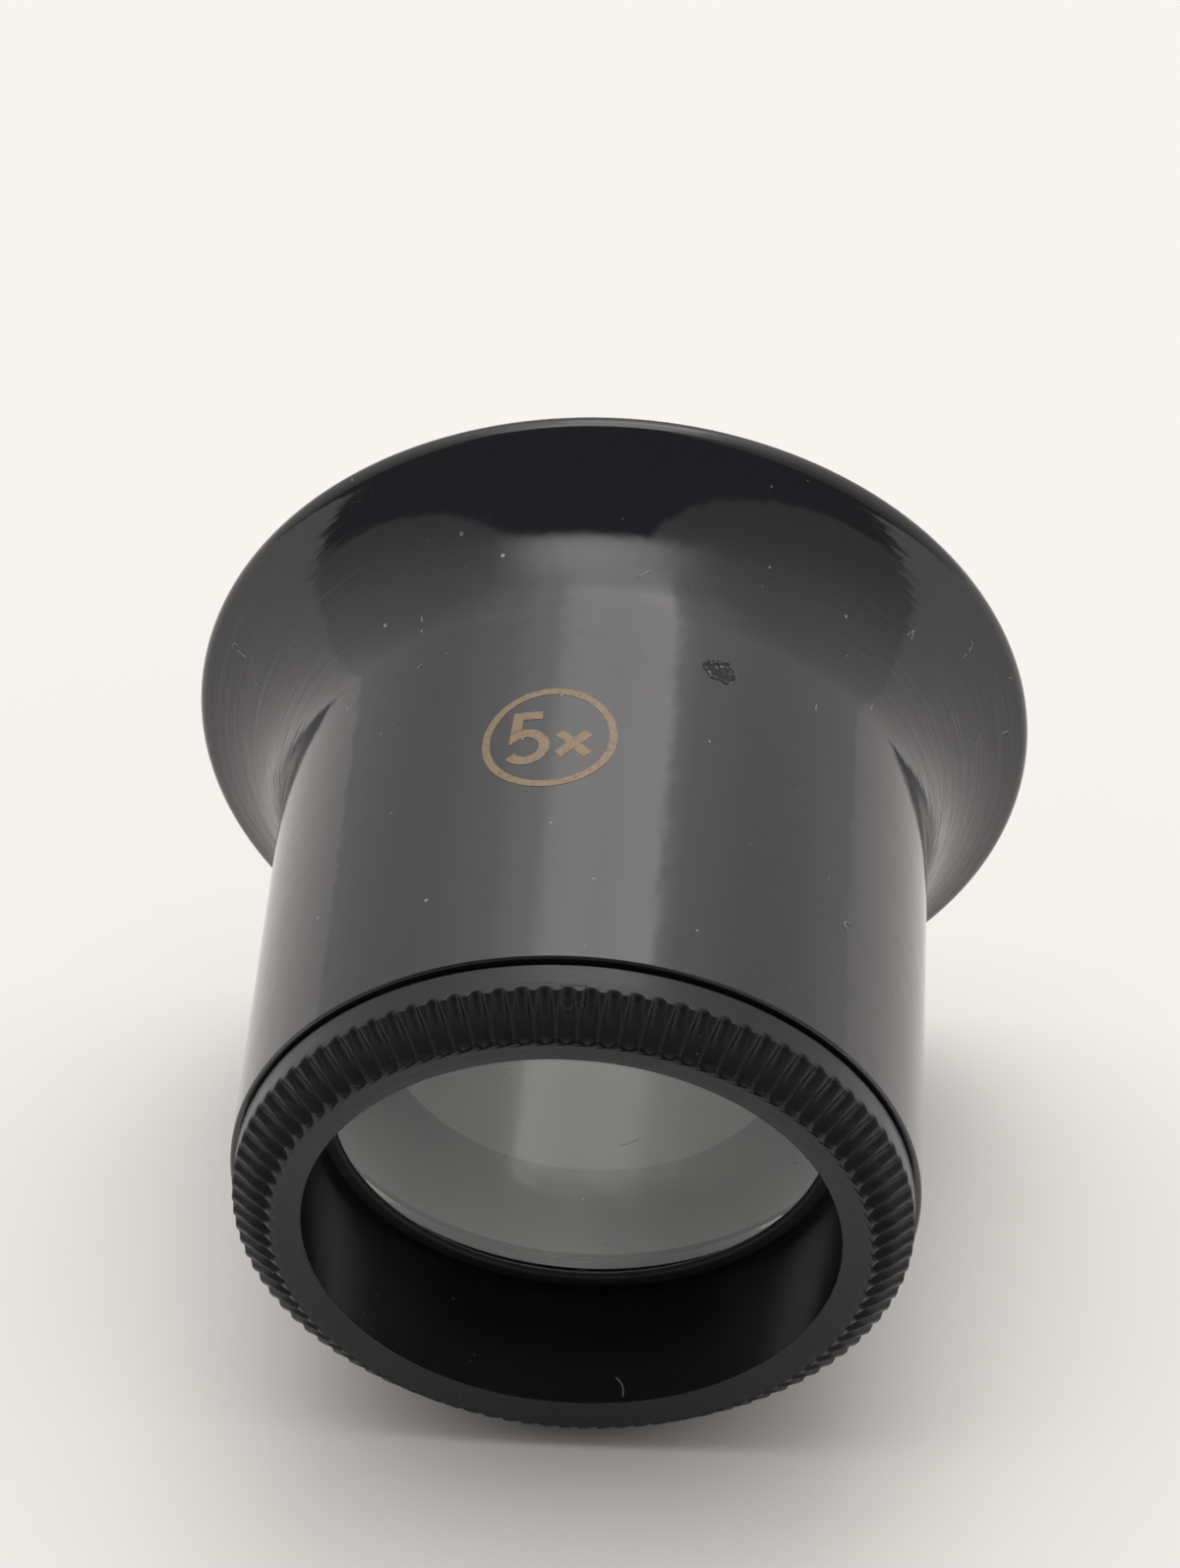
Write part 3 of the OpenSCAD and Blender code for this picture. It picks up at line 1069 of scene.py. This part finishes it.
# Levels of the tent's walls and softbox: pairs of a direction's x or y and a level
WALL_BY_Y = ((-0.9, 0.42), (-0.6, 0.44), (-0.3, 0.6), (0.0, 0.76), (0.6, 0.8), (0.8, 0.6), (0.9, 0.55))
ABOVE_BY_X = (
    (-0.75, 0.0), (-0.6, 0.13), (-0.48, 0.33), (-0.4, 0.42), (-0.33, 0.68), (-0.24, 0.8),
    (-0.17, 1.4), (-0.08, 1.55), (0.06, 1.5), (0.2, 1.68), (0.27, 1.7), (0.31, 0.7),
    (0.38, 0.35), (0.48, 0.25), (0.6, 0.07), (0.7, 0.0),
)
AHEAD_BY_X = (
    (-0.75, 0.0), (-0.58, 0.1), (-0.5, 0.5), (-0.41, 1.0), (-0.33, 1.5), (-0.24, 1.85), (-0.07, 1.95),
    (0.1, 1.7), (0.2, 1.4), (0.26, 1.05), (0.34, 0.62), (0.42, 0.33), (0.52, 0.1), (0.7, 0.0),
)
BEHIND_BY_X = (
    (-0.6, 0.05), (-0.36, 0.15), (-0.22, 0.35), (-0.12, 0.4), (0.02, 0.6), (0.18, 0.55), (0.35, 0.4),
    (0.7, 0.1),
)
BOX_BY_Y = (
    (-0.44, 0.0), (-0.38, 0.2), (-0.28, 0.95), (-0.17, 1.06), (0.0, 0.95), (0.2, 0.95), (0.36, 1.35),
    (0.48, 1.15), (0.56, 1.05), (0.66, 1.0), (0.76, 0.95), (0.86, 0.5), (0.92, 0.1), (0.98, 0.0),
)
# Where the softbox passes from ahead to above to behind, and where it ends at the horizon
AHEAD_TO_ABOVE, ABOVE_TO_BEHIND, HORIZON = (-0.1, 0.4), (0.6, 0.68), (-0.05, 0.05)
# The dark shape's edges: how far each leans with the height, and where it runs
SHAPE_RIGHT_LEAN, SHAPE_RIGHT = 0.52, (0.615, 0.65)
SHAPE_LEFT_LEAN, SHAPE_LEFT = -0.4, (-0.845, -0.81)
SHAPE_BACK = (-0.42, -0.34)
# Tone of the light, and the backdrop that the camera sees
LIGHT_TONE = (1.02, 1.0, 0.965)
BACKDROP = (0.93, 0.91, 0.88, 1.0)
# Where the camera stands in metres, and its turn to the left and rise in degrees
CAMERA_PLACE = (0.00987603, -0.1595655, 0.1426269)
CAMERA_TURN, CAMERA_RISE = 3.5964, 36.225


def lay_floor(stage):
    floor = place("floor", new_mesh("floor", FLOOR, [(0, 1, 2, 3)]))
    surface = Surface("Pale floor", Base_Color=colour(stage.floor), Roughness=0.85, Specular_IOR_Level=0.2)
    floor.data.materials.append(surface.finish())


def hang_tent(stage):
    """A pale light tent, its softbox overhead and behind, and the photographer's dark shape in front."""
    world = bpy.data.worlds.new("Light tent")
    bpy.context.scene.world = world
    world.use_nodes = True
    n = Sheet(world.node_tree)
    way = n.add("ShaderNodeTexCoord").outputs["Generated"]
    x, y, z = n.add("ShaderNodeSeparateXYZ", {0: way}).outputs
    rows = n.curve(y, BOX_BY_Y)
    box = n.blend(n.step(y, *AHEAD_TO_ABOVE), n.curve(x, AHEAD_BY_X), n.curve(x, ABOVE_BY_X), "FLOAT")
    behind = n.curve(x, BEHIND_BY_X)
    box = n.blend(n.step(y, *ABOVE_TO_BEHIND), n.times(box, rows), n.times(behind, rows), "FLOAT")
    box = n.times(box, n.step(z, *HORIZON))
    light = n.pile(n.times(box, stage.softbox), (n.curve(y, WALL_BY_Y), stage.tent))
    right = n.step(n.pile(x, (z, SHAPE_RIGHT_LEAN)), *SHAPE_RIGHT, 1.0, 0.0)
    left = n.step(n.pile(x, (z, SHAPE_LEFT_LEAN)), *SHAPE_LEFT)
    shape = n.times(right, left, n.step(y, *SHAPE_BACK, 1.0, 0.0))
    light = n.blend(shape, light, stage.shape, "FLOAT")
    toned = {i: n.times(light, tone) for i, tone in enumerate(LIGHT_TONE)}
    seen = n.add("ShaderNodeLightPath").outputs["Is Camera Ray"]
    shown = n.blend(seen, n.add("ShaderNodeCombineColor", toned).outputs[0], BACKDROP)
    n.feed(shown, world.node_tree.nodes["Background"].inputs["Color"])


def aim_camera(stage):
    data = bpy.data.cameras.new("camera")
    data.lens = stage.focal
    data.sensor_width = 36.0
    data.clip_start, data.clip_end = 0.01, 20.0
    camera = bpy.data.objects.new("camera", data)
    bpy.context.scene.collection.objects.link(camera)
    turn, rise = math.radians(CAMERA_TURN), math.radians(CAMERA_RISE)
    right = Vector((math.cos(turn), math.sin(turn), 0.0))
    back = Vector((math.sin(turn) * math.cos(rise), -math.cos(turn) * math.cos(rise), math.sin(rise)))
    axes = Matrix((right, back.cross(right), back)).transposed()
    camera.matrix_world = Matrix.Translation(CAMERA_PLACE) @ axes.to_4x4()
    bpy.context.scene.camera = camera


class LOUPE_PT_panel(Panel):
    """Lists the pieces of the loupe"""

    bl_idname = "LOUPE_PT_panel"
    bl_label = "Watchmaker's Loupe"
    bl_space_type = "VIEW_3D"
    bl_region_type = "UI"
    bl_category = "Loupe"

    def draw(self, context):
        for operator in OPERATORS:
            self.layout.operator(operator.bl_idname)
        for group in [getattr(context.scene, name) for name in GROUP_NAMES]:
            box = self.layout.box()
            for name in group.bl_rna.properties.keys():
                if name not in {"rna_type", "name"}:
                    box.prop(group, name)


GROUPS = (LoupeSizes, LoupeFinishes, LoupeStage)
GROUP_NAMES = ("loupe_sizes", "loupe_finishes", "loupe_stage")
OPERATORS = (LOUPE_OT_barrel, LOUPE_OT_lens, LOUPE_OT_washer, LOUPE_OT_ring)
OPERATORS += (LOUPE_OT_mark, LOUPE_OT_lint, LOUPE_OT_stage)


def register():
    for item in (*GROUPS, *OPERATORS, LOUPE_PT_panel):
        bpy.utils.register_class(item)
    bpy.types.Scene.loupe_sizes = PointerProperty(type=LoupeSizes)
    bpy.types.Scene.loupe_finishes = PointerProperty(type=LoupeFinishes)
    bpy.types.Scene.loupe_stage = PointerProperty(type=LoupeStage)


def unregister():
    for name in GROUP_NAMES:
        delattr(bpy.types.Scene, name)
    for item in (LOUPE_PT_panel, *reversed(OPERATORS), *reversed(GROUPS)):
        bpy.utils.unregister_class(item)


def main():
    register()
    bpy.ops.loupe.barrel()
    bpy.ops.loupe.lens()
    bpy.ops.loupe.washer()
    bpy.ops.loupe.ring()
    bpy.ops.loupe.mark()
    bpy.ops.loupe.lint()
    bpy.ops.loupe.stage()


if __name__ == "__main__":
    main()
